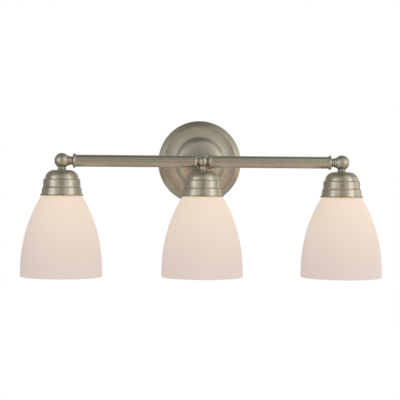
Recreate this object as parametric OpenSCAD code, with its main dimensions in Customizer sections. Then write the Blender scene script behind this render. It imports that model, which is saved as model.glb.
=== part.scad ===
// Vanity light bar: three bell shades hang from a reeded bar on a round backplate.
// X runs along the bar, Z is up, the wall is the plane y = 0 and the room is at -Y.
// The origin is the centre of the backplate, on the wall.

/* [Light bar] */
// Distance between neighbouring lamp axes
lamp_pitch = 236; // [190:1:320]
// Distance from the wall to the bar's axis
bar_out = 98; // [85:1:140]
// Outer diameter of the reeded tubes
tube_d = 20; // [15:0.5:22]
// Height of each reed above the valleys beside it
reed_depth = 0.5; // [0.4:0.1:1]
// Number of reeds round a tube
reed_count = 8; // [8:1:18]
// Wall of a tube under its valleys
tube_wall = 1.2; // [0.8:0.1:2]

/* [Balls, couplings and neck rings] */
// Diameter of the ball at each end of the bar
end_ball_d = 25.4; // [24:0.2:36]
// Diameter of the ball in the middle of the bar
hub_ball_d = 20; // [19:0.2:32]
// Diameter of the collar rings beside the tubes
collar_d = 24.4; // [23:0.2:30]
// Length of an outer collar along the bar
outer_collar_len = 5.8; // [5:0.1:9]
// Length of a collar beside the hub
hub_collar_len = 4.4; // [4.2:0.1:8]
// Length of one bead of an outer coupling
outer_bead_len = 3.4; // [2:0.1:5]
// Length of the bead of a coupling beside the hub
hub_bead_len = 1.8; // [1.2:0.1:4]
// Diameter of the beads
bead_d = 15.2; // [13.6:0.2:18]
// Diameter of the grooves beside the beads
groove_d = 12; // [11.6:0.2:13]

/* [Backplate] */
// Outside diameter of the backplate
plate_d = 145; // [138:1:160]
// Thickness of the spun sheet
plate_wall = 1; // [0.8:0.1:1.5]
// Diameter of the ridge above the outer rim
ridge_d = 125; // [122:1:126]
// Depth of the outer rim, from the wall to the ridge
rim_depth = 11; // [10:0.5:16]
// Diameter of the step between ring and dome, at its foot
step_d = 88; // [84:1:92]
// Depth of the step
step_depth = 5.4; // [4:0.1:8]
// Width of the step seen from the front
step_run = 4.4; // [3:0.1:6]
// Depth of the backplate, from the wall to the flat in the middle of its dome
plate_depth = 26; // [25:0.5:40]
// Diameter of that flat
dome_flat_d = 27; // [26:0.5:30]

/* [Crossbar and its fasteners] */
// Distance between the two slots for the outlet box screws
box_screw_pitch = 88.9; // [88:0.1:90]
// Width of a slot
slot_w = 4.6; // [4.4:0.1:5]
// Length of a slot from end to end
slot_len = 8; // [7:0.5:9]
// Distance between the two long screws
plate_screw_pitch = 111; // [110.5:0.1:111.5]
// Thickness of the crossbar
crossbar_t = 2; // [1.5:0.1:2.5]
// Width of the crossbar
crossbar_w = 20; // [16:1:24]
// How far the crossbar's ends stand off the wall
crossbar_step = 5; // [4.5:0.1:5.5]
// Diameter of the long screws and of the ground screw
screw_d = 4.8; // [4:0.1:5]
// Diameter of the cap nuts in front of the backplate
cap_nut_d = 9.4; // [9:0.1:10]

/* [Threaded pipes] */
// Diameter of the threaded pipes and nipples
pipe_d = 9.5; // [9:0.1:10]
// Bore of the threaded pipes and nipples
pipe_bore = 6.6; // [6.4:0.1:7]
// Clearance round a pipe in the holes it passes through or screws into
pipe_clear = 0.1; // [0.05:0.05:0.2]

/* [Cup] */
// Distance from the bar's axis down to the top of a cup
cup_drop = 15.7; // [15.2:0.1:30]
// Thickness of the cup's sheet
cup_wall = 1; // [0.8:0.1:1.2]
// Diameter of the flat on top of the cup
cup_flat_d = 25; // [20:0.5:28]
// Diameter at the foot of the cup's dome
cup_dome_d = 56; // [54:0.5:58]
// Height of the cup's dome
cup_dome_h = 14.7; // [14:0.1:18]
// Diameter of the upper band
upper_band_d = 61.8; // [60:0.2:63]
// Height of the upper band
upper_band_h = 14.4; // [12:0.1:18]
// Diameter of the lower band, at its top
lower_band_d = 65.6; // [64.8:0.2:68]
// How much the lower band widens towards the lip
lower_band_flare = 2.2; // [1:0.1:3]
// Height of the lower band
lower_band_h = 11.4; // [10:0.1:14]
// Diameter of the rolled lip
lip_d = 72.8; // [72:0.2:76]

/* [Lampholder and shade ring] */
// Diameter of the lampholder's barrel
holder_d = 44; // [43:0.5:46]
// Outside diameter of the threaded skirt that the shade ring screws on
skirt_d = 39.7; // [38:0.1:40.2]
// Length of the threaded skirt
skirt_len = 11; // [10:0.5:14]
// Outside diameter of the brass screw shell
shell_d = 28.6; // [28.4:0.1:29]
// Wall of the screw shell
shell_wall = 0.6; // [0.4:0.1:0.7]
// Depth from the skirt's end up to the shell's top
shell_depth = 23.5; // [22:0.5:26]
// Clearance between the skirt and the shade ring
ring_clear = 0.4; // [0.3:0.05:0.6]
// Outside diameter of the shade ring's flange
ring_flange_d = 54; // [48:0.5:55]
// Outside diameter of the shade ring's body
ring_body_d = 45; // [44:0.5:47]
// Height of the shade ring
ring_h = 8; // [7:0.5:10]

/* [Glass shade] */
// Height of the shade from its neck to its rim
shade_h = 147.5; // [120:0.5:190]
// Outside diameter of the shade's rim
shade_rim_d = 137; // [120:1:160]
// Outside diameter of the shade where it leaves the cup
shade_shoulder_d = 69; // [68:0.5:70]
// Outside diameter of the shade's neck
shade_neck_d = 61.2; // [58:0.2:61.4]
// Thickness of the glass
glass_t = 3; // [2.5:0.1:4]
// How strongly the bell curves, where 1 would be a plain cone
bell_curve = 2.35; // [1.6:0.05:3]
// Clearance between the skirt and the hole in the neck
neck_clear = 1.15; // [0.8:0.05:1.5]

/* [Lamp] */
// Largest diameter of the lamp
lamp_d = 60; // [50:1:66]
// Length of the lamp with its base
lamp_len = 108.5; // [96:0.5:114]
// Outside diameter of the lamp's screw base
base_d = 26.4; // [26:0.1:26.6]
// Length of the lamp's screw base
base_len = 24; // [22:0.5:26]
// Pitch of the base's thread
base_pitch = 3.63; // [3.4:0.01:3.8]
// Thickness of the lamp's glass
lamp_glass_t = 1; // [0.8:0.1:1.2]

/* [Leads] */
// Diameter of one insulated lead
lead_d = 1.8; // [1.2:0.1:1.9]
// How far the leads reach above and below the arm behind the backplate
lead_tail = 30; // [20:1:34]

/* [Hidden] */
$fn = 64;
eps = 0.01;

LIGHTS = ["left", "centre", "right"];
LIGHT_PIECES = ["neck_ring", "cup", "nipple", "nipple_nut", "socket_body", "socket_shell",
    "socket_contact", "shade_ring", "shade", "bulb_glass", "bulb_base"];
SIDES = ["left", "right"];
SIDE_PIECES = ["bar_tube", "bar_pipe", "inner_coupling", "outer_coupling", "end_ball"];
NODES = concat(
    ["backplate", "crossbar", "crossbar_screws", "screw_locknuts", "cap_nuts",
        "ground_screw", "ground_wire", "arm_tube", "arm_pipe", "arm_collar",
        "arm_base_collar", "arm_washer", "arm_locknut", "hub_ball", "live_leads",
        "neutral_leads"],
    [for (side = SIDES, piece = SIDE_PIECES) str(side, "_", piece)],
    [for (light = LIGHTS, piece = LIGHT_PIECES) str(light, "_", piece)]);
node = "all";

NICKEL = [0.66, 0.62, 0.55];
BRASS = [0.80, 0.63, 0.32];
ZINC = [0.72, 0.73, 0.74];
OPAL = [0.96, 0.90, 0.84];

// Holes for the threaded pipes, in thick pieces and in spun sheet
pipe_hole_r = pipe_d / 2 + pipe_clear;
sheet_hole_r = pipe_d / 2 + 0.25;
// Radius of the flats on which couplings and neck rings seat
outer_seat_r = 7.5;
hub_seat_r = groove_d / 2;
// Hollow inside each ball, where the leads turn
end_cavity_r = 7.5;
hub_cavity_r = 5.2;
// Distances from a ball's centre to the end of a pipe screwed into it
end_pipe_start = 8;
hub_pipe_start = 5.6;

// Distance from a ball's centre to a flat of the radius seat_r
function flat_at(ball_d, seat_r) = sqrt(ball_d * ball_d / 4 - seat_r * seat_r);
end_side_flat = flat_at(end_ball_d, outer_seat_r);
end_low_flat = flat_at(end_ball_d, hub_seat_r);
hub_flat = flat_at(hub_ball_d, hub_seat_r);

// Lengths of the couplings, and where the tubes start and end
outer_coupling_len = 2 * outer_bead_len + outer_collar_len;
hub_coupling_len = hub_bead_len + hub_collar_len;
// The arm's collar stands clear of the two collars beside it
arm_bead_len = max(hub_bead_len, collar_d / 2 + 0.3 - hub_flat);
arm_near = hub_flat + arm_bead_len + hub_collar_len;
tube_near = hub_flat + hub_coupling_len;
tube_far = lamp_pitch - end_side_flat - outer_coupling_len;

// Backplate, arm and crossbar
base_collar_len = 5;
plate_land = 1.2;
ring_rise = 2.6;
step_front_r = step_d / 2 - step_run;
washer_d = 22;
washer_t = 1.2;
locknut_d = 16;
locknut_t = 3;
arm_pipe_end = plate_depth - plate_wall - washer_t - locknut_t - 2.8;
crossbar_half = plate_screw_pitch / 2 + 5;
crossbar_joggle = box_screw_pitch / 2 + slot_len / 2 + 1.2;
screw_head_d = 7.4;
screw_clear = 0.1;
plate_screw_x = plate_screw_pitch / 2;
// Flat seats on the backplate's ring, under the cap nuts
pad_r = cap_nut_d / 2 + 0.5;
pad_top = rim_depth + 3;
pad_t = 3.4;
// Ground screw and wire, on the crossbar beside the middle
ground_x = -24;
wire_d = 1.8;
wire_loop_r = screw_d / 2 + wire_d / 2 + 0.1;

// Heights in a cup, measured from the bar's axis
cup_top = -cup_drop;
dome_foot = cup_top - cup_dome_h;
band_step = dome_foot - upper_band_h;
lip_top = band_step - lower_band_h;
lip_r = 1.3;
nut_t = 3.4;
holder_top = cup_top - cup_wall - nut_t;
neck_top = cup_top - 30.8;
skirt_end = neck_top - skirt_len;
shell_top = skirt_end + shell_depth;
lead_floor = holder_top - 6.9;
ring_top = neck_top - glass_t;

// Bell curve of the shade
rim_z = neck_top - shade_h;
shoulder_z = neck_top - 13.5;
bell_h = shoulder_z - rim_z;
rim_r = shade_rim_d / 2;
shoulder_r = shade_shoulder_d / 2;
neck_r = shade_neck_d / 2;
bell_start = 1 - pow((rim_r - neck_r) / (rim_r - shoulder_r), 1 / bell_curve);
bell_end = 1 - glass_t / 2 / bell_h;
bell_steps = 22;

// Lamp
lamp_tip = shell_top - 2;
base_end = lamp_tip - base_len;
lamp_centre = lamp_tip - lamp_len + lamp_d / 2;
lamp_neck_r = base_d / 2 - 1.1;

// Leads
lead_space = lead_d + 0.1;
bend_r = 2;
end_bend_r = 3;
tail_bend_r = 3;
tail_y = -12;

function shown(name) = node == "all" || node == name;
function backwards(list) = [for (i = [len(list) - 1:-1:0]) list[i]];
function unit(v) = v / norm(v);
function left_of(a, b) = let (u = unit(b - a)) [-u.y, u.x];

// The line p moved sideways by t, to the left of its direction
function beside(p, t) = let (last = len(p) - 1) [for (i = [0:last])
    let (before = i > 0 ? left_of(p[i - 1], p[i]) : left_of(p[0], p[1]),
        after = i < last ? left_of(p[i], p[i + 1]) : before,
        middle = unit(before + after))
    p[i] + middle * t / (middle * before)];

// Half-round bead of radius r and length w from s; it starts at the angle a0
function bead(s, w, r, a0 = 0) = let (floor_r = groove_d / 2) [for (i = [0:6])
    let (a = a0 + (180 - a0) * i / 6)
    [floor_r + (r - floor_r) * sin(a), s + w * (cos(a0) - cos(a)) / (1 + cos(a0))]];

// Collar that flares from s to a rounded crest and ends at s + w
function collar(s, w) = let (crest = 1.4, half = 2, middle = s + w - 2.2) concat(
    [for (a = [20:20:160])
        [collar_d / 2 - crest + crest * sin(a), middle - half * cos(a)]],
    [[collar_d / 2 - crest, s + w]]);

// Puts a shape made along +Z on the bar, pointing along +X from the distance x
module along_bar(x) translate([x, 0, 0]) rotate([0, 90, 0]) children();

// Puts a shape made on the right half of the bar at the bar's height, on either side
module at_side(i) translate([0, -bar_out, 0]) mirror([i == 0 ? 1 : 0, 0, 0]) children();

// Puts a shape made round the Z axis at one of the three lights
module at_light(i) translate([(i - 1) * lamp_pitch, -bar_out, 0]) children();

// Puts a shape made along +Z on the arm, pointing at the wall from the hub
module along_arm(s) translate([0, s - bar_out, 0]) rotate([-90, 0, 0]) children();

module both_screws() for (x = [-plate_screw_x, plate_screw_x]) translate([x, 0, 0]) children();

module lathe(points) rotate_extrude() polygon(points);

module pipe(length) color(ZINC) difference() {
    cylinder(d = pipe_d, h = length);
    translate([0, 0, -1]) cylinder(d = pipe_bore, h = length + 2);
}

module hexagon(across, h) cylinder(d = across / cos(30), h = h, $fn = 6);

// Each reed of a tube is an arc between two valleys
reed_valley = tube_d / 2 - reed_depth;
reed_centre = (tube_d * tube_d / 4 - reed_valley * reed_valley)
    / (2 * (tube_d / 2 - reed_valley * cos(180 / reed_count)));
reed_r = tube_d / 2 - reed_centre;

// Radius of a reeded tube's surface at the angle a from the crest of a reed
function reeded_r(a) = reed_centre * cos(a) + sqrt(pow(reed_r, 2) - pow(reed_centre * sin(a), 2));

module reeded_tube(length) {
    steps = 12;
    turn = 360 / reed_count;
    color(NICKEL) linear_extrude(length) difference() {
        polygon([for (reed = [0:reed_count - 1], k = [0:steps - 1])
            let (a = turn * (k / steps - 0.5), r = reeded_r(a))
            [r * cos(turn * reed + a), r * sin(turn * reed + a)]]);
        circle(r = reed_valley - tube_wall);
    }
}

module outer_coupling() color(NICKEL) lathe(concat(
    [[pipe_hole_r, 0], [outer_seat_r, 0]],
    bead(0, outer_bead_len, bead_d / 2 + 0.7, 60),
    bead(outer_bead_len, outer_bead_len, bead_d / 2 - 0.3),
    collar(2 * outer_bead_len, outer_collar_len),
    [[pipe_hole_r, outer_coupling_len]]));

module hub_coupling(bead_len) color(NICKEL) lathe(concat(
    [[pipe_hole_r, 0]],
    bead(0, bead_len, bead_d / 2 - 0.4),
    collar(bead_len, hub_collar_len),
    [[pipe_hole_r, bead_len + hub_collar_len]]));

// Everything beyond a flat at the distance s, with a tapped hole from the ball's cavity
module flat_and_hole(s, ball_d) {
    translate([0, 0, s]) cylinder(d = ball_d, h = ball_d);
    cylinder(r = pipe_hole_r, h = ball_d);
}

module end_ball() color(NICKEL) difference() {
    sphere(d = end_ball_d);
    sphere(r = end_cavity_r);
    rotate([180, 0, 0]) flat_and_hole(end_low_flat, end_ball_d);
    rotate([0, -90, 0]) flat_and_hole(end_side_flat, end_ball_d);
}

module hub_ball() color(NICKEL) translate([0, -bar_out, 0]) difference() {
    sphere(d = hub_ball_d);
    sphere(r = hub_cavity_r);
    for (turn = [[180, 0, 0], [0, -90, 0], [0, 90, 0], [-90, 0, 0]])
        rotate(turn) flat_and_hole(hub_flat, hub_ball_d);
}

module neck_ring(start) {
    low_bead = min(2.8, 0.63 * (start - cup_top));
    joint = cup_top + low_bead;
    color(NICKEL) lathe(concat(
        [[pipe_hole_r, start]],
        backwards(bead(joint, start - joint, groove_d / 2 + 0.3)),
        backwards(bead(cup_top, low_bead, bead_d / 2 - 0.3)),
        [[pipe_hole_r, cup_top]]));
}

// Outer surface of the backplate from the wall to the middle: [radius, height]
function plate_outline() = let (ridge_r = ridge_d / 2, foot = rim_depth + ring_rise,
        front = foot + step_depth, dome_r = step_front_r - 0.8, flat_r = dome_flat_d / 2,
        rise = plate_depth - front - 0.6) concat(
    [[plate_d / 2, 0], [plate_d / 2, plate_land], [ridge_r + 1.4, rim_depth - 1.2],
        [ridge_r + 0.9, rim_depth - 0.1], [ridge_r, rim_depth + 0.5],
        [ridge_r - 1.1, rim_depth + 0.2], [step_d / 2 + 0.8, foot], [step_d / 2, foot + 0.5],
        [step_front_r, front]],
    [for (a = [0:15:90])
        [flat_r + (dome_r - flat_r) * cos(a), front + 0.6 + rise * sin(a)]],
    [[sheet_hole_r, plate_depth]]);

module backplate() color(NICKEL) rotate([90, 0, 0]) difference() {
    union() {
        lathe(concat(plate_outline(), backwards(beside(plate_outline(), plate_wall))));
        both_screws() translate([0, 0, pad_top - pad_t]) cylinder(r = pad_r, h = pad_t);
    }
    both_screws() cylinder(d = screw_d + 0.6, h = plate_depth);
}

module crossbar() {
    far = crossbar_half;
    near = crossbar_joggle;
    t = crossbar_t;
    s = crossbar_step;
    right = [[near, 0], [near + 1, s], [far, s], [far, s + t], [near, s + t], [near - 1, t]];
    slot_side = slot_len / 2 - slot_w / 2;
    color(ZINC) rotate([90, 0, 0]) difference() {
        rotate([90, 0, 0]) linear_extrude(crossbar_w, center = true)
            polygon(concat(right, [for (p = backwards(right)) [-p.x, p.y]]));
        cylinder(r = pipe_hole_r + 0.3, h = 20, center = true);
        both_screws() cylinder(d = screw_d + 2 * screw_clear, h = 30, center = true);
        translate([ground_x, 0, 0])
            cylinder(d = screw_d + 2 * screw_clear, h = 20, center = true);
        for (side = [-1, 1]) translate([side * box_screw_pitch / 2, 0, 0]) {
            for (end = [-1, 1]) translate([end * slot_side, 0, 0])
                cylinder(d = slot_w, h = 20, center = true);
            cube([2 * slot_side, slot_w, 20], center = true);
        }
    }
}

module crossbar_screws() color(ZINC) rotate([90, 0, 0]) both_screws() {
    translate([0, 0, crossbar_step - 2.6]) cylinder(d = screw_head_d, h = 2.6);
    translate([0, 0, crossbar_step - eps])
        cylinder(d = screw_d, h = pad_top + 3.6 - crossbar_step);
}

module screw_locknuts() color(ZINC) rotate([90, 0, 0]) both_screws()
    translate([0, 0, crossbar_step + crossbar_t]) difference() {
        hexagon(8, 2.6);
        translate([0, 0, -1]) cylinder(d = screw_d + 2 * screw_clear, h = 5);
    }

module cap_nuts() color(NICKEL) rotate([90, 0, 0]) both_screws() translate([0, 0, pad_top])
    difference() {
        r = cap_nut_d / 2;
        lathe(concat([[0, 0], [r, 0], [r, 1.4], [r - 0.6, 1.9]],
            [for (a = [0:15:90]) [(r - 0.6) * cos(a), 3.4 + (r - 1) * sin(a)]]));
        translate([0, 0, -1]) cylinder(d = screw_d + 2 * screw_clear, h = 5);
    }

module ground_screw() color("seagreen") translate([ground_x, 0, 0]) rotate([90, 0, 0]) {
    cylinder(d = screw_d, h = crossbar_t + wire_d + eps);
    translate([0, 0, crossbar_t + wire_d]) difference() {
        hexagon(8.4, 2.8);
        translate([0, 0, 1.8]) cube([20, 1.1, 4], center = true);
    }
}

module ground_wire() {
    leg = 24;
    color("green") translate([ground_x, -crossbar_t - wire_d / 2, 0]) rotate([90, 0, 0]) {
        rotate(-180) rotate_extrude(angle = 270) translate([wire_loop_r, 0]) circle(d = wire_d);
        translate([-wire_loop_r, 0, 0]) rotate([90, 0, 0]) cylinder(d = wire_d, h = leg);
        translate([-wire_loop_r, -leg, tail_bend_r]) rotate([0, -90, 0]) rotate([0, 0, 180])
            rotate_extrude(angle = 90) translate([tail_bend_r, 0]) circle(d = wire_d);
    }
}

module arm_base_collar() color(NICKEL) rotate([90, 0, 0]) translate([0, 0, plate_depth])
    lathe([[pipe_hole_r, 0], [12.2, 0], [12.9, 0.7], [12.9, 1.6], [12.2, 2.4], [10.6, 2.9],
        [10.2, 3.6], [10.4, base_collar_len], [pipe_hole_r, base_collar_len]]);

module arm_tube() translate([0, -plate_depth - base_collar_len, 0]) rotate([90, 0, 0])
    reeded_tube(bar_out - plate_depth - base_collar_len - arm_near);

module arm_washer() color(ZINC) translate([0, plate_wall - plate_depth, 0]) rotate([-90, 0, 0])
    difference() {
        cylinder(d = washer_d, h = washer_t);
        translate([0, 0, -1]) cylinder(r = pipe_hole_r, h = washer_t + 2);
    }

module arm_locknut() color(ZINC) translate([0, plate_wall + washer_t - plate_depth, 0])
    rotate([-90, 0, 0]) difference() {
        hexagon(locknut_d, locknut_t);
        translate([0, 0, -1]) cylinder(r = pipe_hole_r, h = locknut_t + 2);
    }

// Outer surface of a cup from its hole to its lip
function cup_outline() = let (flat_r = cup_flat_d / 2, dome_r = cup_dome_d / 2,
        upper_r = upper_band_d / 2, lower_r = lower_band_d / 2) concat(
    [[sheet_hole_r, cup_top]],
    [for (a = [0:15:90])
        [flat_r + (dome_r - flat_r) * sin(a), cup_top - (cup_dome_h - 0.4) * (1 - cos(a))]],
    [for (a = [0:30:90])
        [dome_r + 0.3 + (upper_r - dome_r - 0.3) * sin(a), dome_foot - 2 * (1 - cos(a))]],
    [[upper_r + 0.1, band_step + 0.3]],
    [for (a = [0:30:90])
        [upper_r + 0.3 + (lower_r - upper_r - 0.3) * sin(a), band_step - 1.6 * (1 - cos(a))]],
    [[lower_r + lower_band_flare / 2, lip_top]]);

module cup() {
    lip_x = lip_d / 2 - lip_r;
    color(NICKEL) lathe(concat(
        cup_outline(),
        [for (a = [90:-25:-160]) [lip_x + lip_r * cos(a), lip_top - lip_r + lip_r * sin(a)]],
        backwards(beside(cup_outline(), -cup_wall))));
}

module nipple(start) translate([0, 0, lead_floor]) pipe(-start - lead_floor);

module nipple_nut() color(ZINC) translate([0, 0, holder_top]) difference() {
    hexagon(14, nut_t);
    translate([0, 0, -1]) cylinder(r = pipe_hole_r, h = nut_t + 2);
}

module socket_body() {
    r = holder_d / 2;
    skirt_r = skirt_d / 2;
    cavity_r = shell_d / 2 + 0.1;
    color([0.93, 0.92, 0.88]) lathe([[0, lead_floor], [pipe_hole_r, lead_floor],
        [pipe_hole_r, holder_top], [9, holder_top], [9, holder_top - 2.4],
        [14, holder_top - 2.4], [r - 1, holder_top - 5], [r, holder_top - 6], [r, neck_top],
        [skirt_r, neck_top], [skirt_r, skirt_end + 0.6], [skirt_r - 0.6, skirt_end],
        [cavity_r, skirt_end], [cavity_r, shell_top], [0, shell_top]]);
}

module socket_shell() {
    r = shell_d / 2;
    color(BRASS) lathe([[6, shell_top], [r, shell_top], [r, skirt_end + 0.5],
        [r - shell_wall, skirt_end + 0.5], [r - shell_wall, shell_top - shell_wall],
        [6, shell_top - shell_wall]]);
}

module socket_contact() color(BRASS) lathe([[0, shell_top], [4.5, shell_top],
    [4.5, shell_top - 0.8], [3, shell_top - 1.2], [2.6, lamp_tip], [0, lamp_tip]]);

module shade_ring() {
    bore_r = skirt_d / 2 + ring_clear;
    flange_t = 2;
    color(NICKEL) lathe([[bore_r, ring_top], [ring_flange_d / 2 - 0.6, ring_top],
        [ring_flange_d / 2, ring_top - 0.6], [ring_flange_d / 2, ring_top - flange_t + 0.6],
        [ring_flange_d / 2 - 0.6, ring_top - flange_t], [ring_body_d / 2, ring_top - flange_t],
        [ring_body_d / 2, ring_top - ring_h + 0.6], [ring_body_d / 2 - 0.6, ring_top - ring_h],
        [bore_r, ring_top - ring_h]]);
}

// Outer surface of a shade from the hole in its neck to its rim
function bell_r(t) = rim_r - (rim_r - shoulder_r) * pow(1 - t, bell_curve);
function shade_outline() = let (corner = 1.6) concat(
    [[skirt_d / 2 + neck_clear, neck_top]],
    [for (a = [90:-30:0])
        [neck_r - corner + corner * cos(a), neck_top - corner + corner * sin(a)]],
    [for (i = [0:bell_steps]) let (t = bell_start + (bell_end - bell_start) * i / bell_steps)
        [bell_r(t), shoulder_z - bell_h * t]]);

module shade() color(OPAL) lathe(concat(
    shade_outline(),
    [for (a = [-30:-30:-150])
        [rim_r - glass_t / 2 + glass_t / 2 * cos(a), rim_z + glass_t / 2 * (1 + sin(a))]],
    backwards(beside(shade_outline(), -glass_t))));

// Surface of the lamp's glass, moved inwards by the distance inset
function lamp_outline(inset) = let (steps = 14, shoulder = lamp_neck_r + 2.2,
        swell = base_end - 1 - lamp_centre) concat(
    [[lamp_neck_r - inset, base_end + 9], [lamp_neck_r - inset, base_end - inset]],
    [for (i = [0:steps - 1]) let (u = i / steps)
        [shoulder - inset + (lamp_d / 2 - shoulder) * (1 - cos(180 * u)) / 2,
            base_end - (i == 0 ? inset : 1) - swell * u]],
    [for (a = [0:-9:-90])
        [(lamp_d / 2 - inset) * cos(a), lamp_centre + (lamp_d / 2 - inset) * sin(a)]]);

module bulb_glass() color([0.97, 0.96, 0.93]) lathe(concat(
    lamp_outline(0), backwards(lamp_outline(lamp_glass_t))));

module bulb_base() {
    r = base_d / 2;
    turns = 5;
    top = lamp_tip - 3;
    color([0.80, 0.80, 0.82]) lathe(concat(
        [[0, lamp_tip], [2.6, lamp_tip], [3.4, lamp_tip - 0.6], [9.6, lamp_tip - 2.2],
            [r - 0.7, top]],
        [for (i = [1:turns * 2])
            [i % 2 == 1 ? r : r - 0.6, top - base_pitch / 2 * i]],
        [[r, base_end + 2], [r, base_end], [lamp_neck_r + 0.1, base_end],
            [lamp_neck_r + 0.1, top - 1.4], [0, top - 1.4]]));
}

// A quarter turn of lead round the Z axis, from +X to +Y
module quarter(r) rotate_extrude(angle = 90) translate([r, 0]) circle(d = lead_d);

// One lead of a side light, on the right half of the bar. which is -1 for the lead that
// is nearer the hub and 1 for the other.
module side_lead(which) {
    half = lead_space / 2;
    turn_r = end_bend_r + half + which * half;
    low = -end_bend_r - half;
    start = lamp_pitch + which * half;
    run_z = low + turn_r;
    hub_end = lead_space + end_bend_r;
    translate([start, 0, lead_floor]) cylinder(d = lead_d, h = low - lead_floor);
    translate([start - turn_r, 0, low]) rotate([90, 0, 0]) quarter(turn_r);
    translate([hub_end, 0, run_z]) rotate([0, 90, 0])
        cylinder(d = lead_d, h = start - turn_r - hub_end);
    translate([hub_end, end_bend_r, run_z]) rotate([0, 0, 180]) quarter(end_bend_r);
    arm_lead(lead_space, end_bend_r, run_z, 1);
}

// A lead of the middle light: which is -1 for the one nearer the wall and 1 for the other
module middle_lead(which) {
    half = lead_space / 2;
    turn_r = bend_r + half + which * half;
    low = -lead_space - bend_r;
    y = -which * half;
    translate([0, y, lead_floor]) cylinder(d = lead_d, h = low - lead_floor);
    translate([0, y + turn_r, low]) rotate([0, 0, -90]) rotate([90, 0, 0]) quarter(turn_r);
    arm_lead(0, y + turn_r, low + turn_r, -1);
}

// The stretch of a lead through the arm, from y to its tail behind the backplate.
// The tail turns up for up = 1 and down for up = -1.
module arm_lead(x, y, z, up) {
    centre_z = up > 0 ? lead_space / 2 + tail_bend_r : -lead_space - tail_bend_r;
    turn_r = abs(centre_z - z);
    turn_y = bar_out + tail_y;
    translate([x, y, z]) rotate([-90, 0, 0]) cylinder(d = lead_d, h = turn_y - y);
    translate([x, turn_y, centre_z]) rotate([0, 0, 90]) rotate([-90 * up, 0, 0])
        quarter(turn_r);
    translate([x, turn_y + turn_r, centre_z]) rotate([up < 0 ? 180 : 0, 0, 0])
        cylinder(d = lead_d, h = lead_tail - tail_bend_r);
}

module leads(which, shade_of) color(shade_of) {
    for (i = [0, 1]) at_side(i) side_lead(which);
    translate([0, -bar_out, 0]) middle_lead(which);
}

if (shown("backplate")) backplate();
if (shown("crossbar")) crossbar();
if (shown("crossbar_screws")) crossbar_screws();
if (shown("screw_locknuts")) screw_locknuts();
if (shown("cap_nuts")) cap_nuts();
if (shown("ground_screw")) ground_screw();
if (shown("ground_wire")) ground_wire();
if (shown("arm_tube")) arm_tube();
if (shown("arm_pipe")) along_arm(hub_pipe_start) pipe(bar_out - hub_pipe_start - arm_pipe_end);
if (shown("arm_collar")) along_arm(hub_flat) hub_coupling(arm_bead_len);
if (shown("arm_base_collar")) arm_base_collar();
if (shown("arm_washer")) arm_washer();
if (shown("arm_locknut")) arm_locknut();
if (shown("hub_ball")) hub_ball();
if (shown("live_leads")) leads(-1, [0.10, 0.10, 0.10]);
if (shown("neutral_leads")) leads(1, [0.92, 0.92, 0.90]);

for (i = [0, 1]) {
    if (shown(str(SIDES[i], "_bar_tube")))
        at_side(i) along_bar(tube_near) reeded_tube(tube_far - tube_near);
    if (shown(str(SIDES[i], "_bar_pipe")))
        at_side(i) along_bar(hub_pipe_start) pipe(lamp_pitch - end_pipe_start - hub_pipe_start);
    if (shown(str(SIDES[i], "_inner_coupling")))
        at_side(i) along_bar(hub_flat) hub_coupling(hub_bead_len);
    if (shown(str(SIDES[i], "_outer_coupling")))
        at_side(i) along_bar(lamp_pitch - end_side_flat) mirror([0, 0, 1]) outer_coupling();
    if (shown(str(SIDES[i], "_end_ball"))) at_side(i) translate([lamp_pitch, 0, 0]) end_ball();
}

for (i = [0:2]) {
    if (shown(str(LIGHTS[i], "_neck_ring"))) at_light(i) neck_ring(i == 1 ? -hub_flat : -end_low_flat);
    if (shown(str(LIGHTS[i], "_cup"))) at_light(i) cup();
    if (shown(str(LIGHTS[i], "_nipple"))) at_light(i) nipple(i == 1 ? hub_pipe_start : end_pipe_start);
    if (shown(str(LIGHTS[i], "_nipple_nut"))) at_light(i) nipple_nut();
    if (shown(str(LIGHTS[i], "_socket_body"))) at_light(i) socket_body();
    if (shown(str(LIGHTS[i], "_socket_shell"))) at_light(i) socket_shell();
    if (shown(str(LIGHTS[i], "_socket_contact"))) at_light(i) socket_contact();
    if (shown(str(LIGHTS[i], "_shade_ring"))) at_light(i) shade_ring();
    if (shown(str(LIGHTS[i], "_shade"))) at_light(i) shade();
    if (shown(str(LIGHTS[i], "_bulb_glass"))) at_light(i) bulb_glass();
    if (shown(str(LIGHTS[i], "_bulb_base"))) at_light(i) bulb_base();
}
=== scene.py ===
"""Looks of a wall light bar with three bell shades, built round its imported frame."""

import logging
import math
from dataclasses import dataclass, field
from enum import Enum

import bmesh
import bpy
from mathutils import Matrix, Vector


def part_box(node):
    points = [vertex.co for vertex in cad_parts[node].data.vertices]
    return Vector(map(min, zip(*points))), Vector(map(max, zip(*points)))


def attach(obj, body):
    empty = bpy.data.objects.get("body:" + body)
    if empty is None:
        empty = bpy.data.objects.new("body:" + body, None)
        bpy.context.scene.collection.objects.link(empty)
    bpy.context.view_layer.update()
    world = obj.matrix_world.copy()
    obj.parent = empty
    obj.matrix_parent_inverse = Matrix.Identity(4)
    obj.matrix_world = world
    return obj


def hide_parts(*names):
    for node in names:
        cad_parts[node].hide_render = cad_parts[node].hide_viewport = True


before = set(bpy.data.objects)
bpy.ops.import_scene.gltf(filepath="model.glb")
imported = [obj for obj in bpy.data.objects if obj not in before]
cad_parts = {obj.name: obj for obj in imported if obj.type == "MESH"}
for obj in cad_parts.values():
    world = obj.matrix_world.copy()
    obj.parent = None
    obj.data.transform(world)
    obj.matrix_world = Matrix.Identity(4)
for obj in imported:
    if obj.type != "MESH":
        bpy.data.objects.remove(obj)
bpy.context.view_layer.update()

log = logging.getLogger("light_bar")

MM = 0.001
ROOT = "fixture"
LIGHTS = ("left", "centre", "right")

Point = tuple[float, float]
Corner = tuple[float, float, float]
Colour = tuple[float, float, float]


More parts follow.
